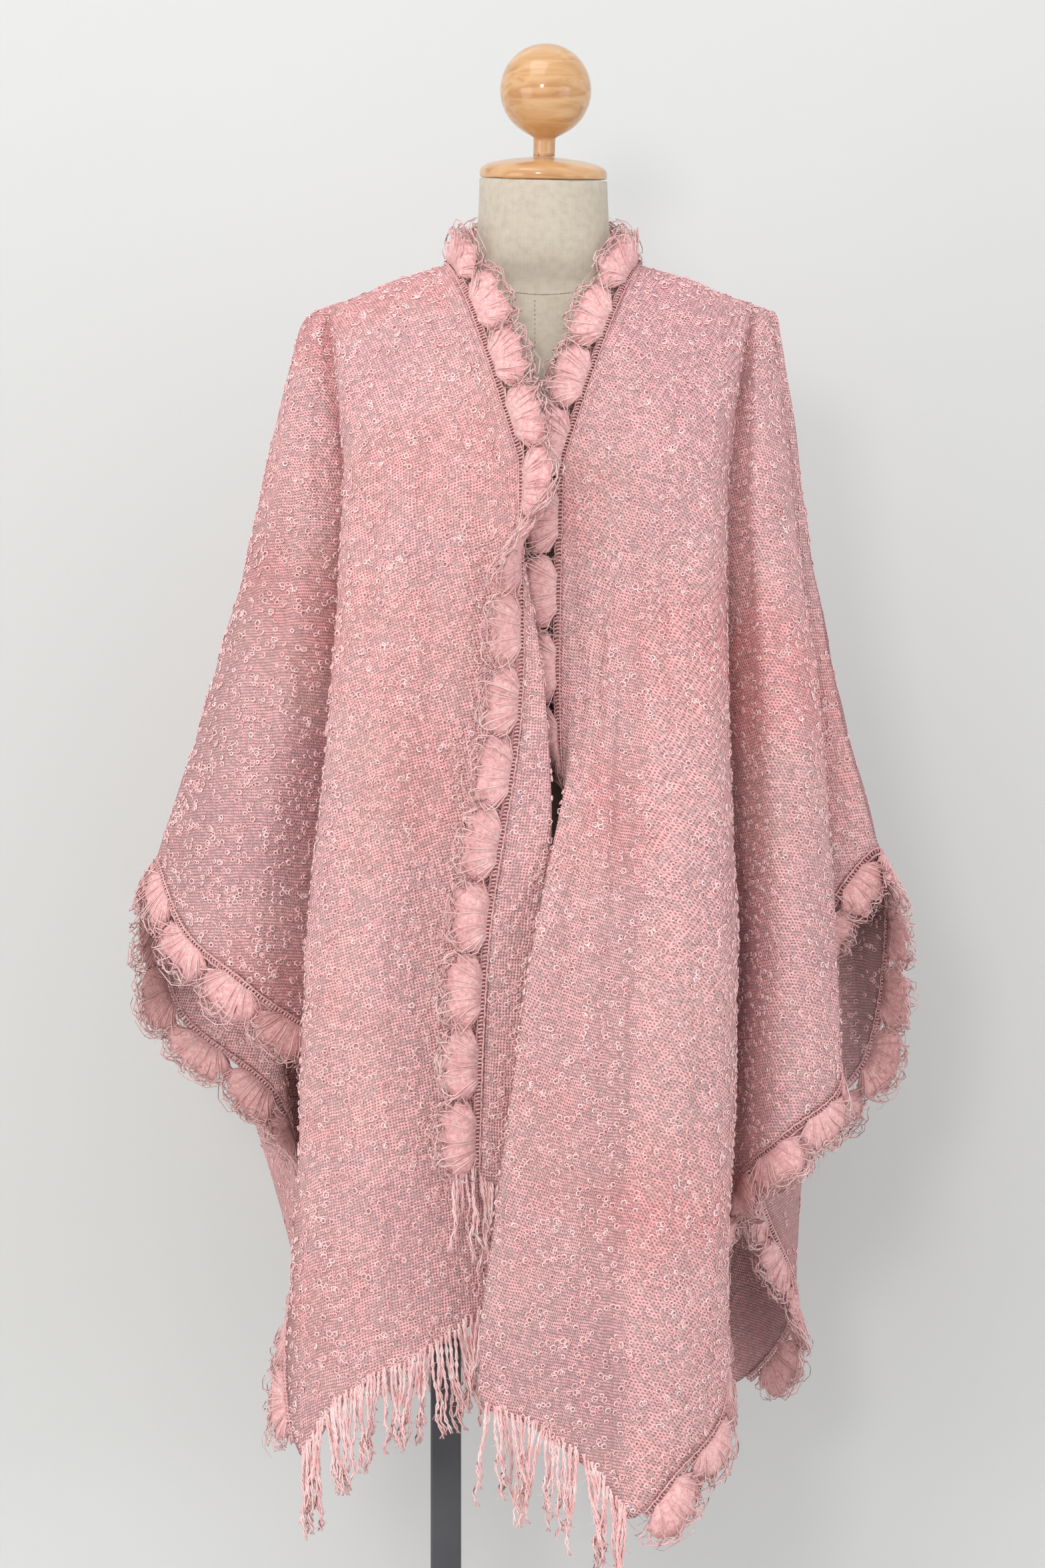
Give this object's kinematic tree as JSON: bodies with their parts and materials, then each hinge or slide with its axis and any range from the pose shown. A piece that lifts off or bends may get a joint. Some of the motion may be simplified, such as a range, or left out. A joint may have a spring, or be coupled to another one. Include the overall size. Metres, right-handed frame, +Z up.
{
  "type": "boucle poncho on a dress form",
  "caption": "Open-front boucle poncho with crocheted shell edging and fringed hems, draped over a limbless dress form on a flat base.",
  "frame": {"origin": "middle of the underside of the base plate, on the floor", "axes": "+Z up, -Y the front of the poncho, +X to the viewer's right when the front is looked at"},
  "size_m": [0.6816, 0.4147, 1.5713],
  "materials": {
    "boucle": "loose boucle plain weave, matt, small curls",
    "edging": "brushed mohair yarn, crocheted shells",
    "fringe": "twisted loose yarn",
    "linen": "plain woven cover, matt",
    "wood": "turned, clear gloss varnish",
    "post": "satin black enamel"
  },
  "bodies": {
    "root": {"front_left": "boucle", "front_right": "boucle", "back": "boucle", "edging_front_left": "edging", "edging_front_right": "edging", "edging_neck": "edging", "edging_side_left": "edging", "edging_side_right": "edging", "fringe_flap": "fringe", "fringe_front_left": "fringe", "fringe_front_right": "fringe", "fringe_back": "fringe", "form_torso": "linen", "neck_cap": "wood", "finial": "wood", "post": "post", "base": "post"}
  },
  "joints": []
}
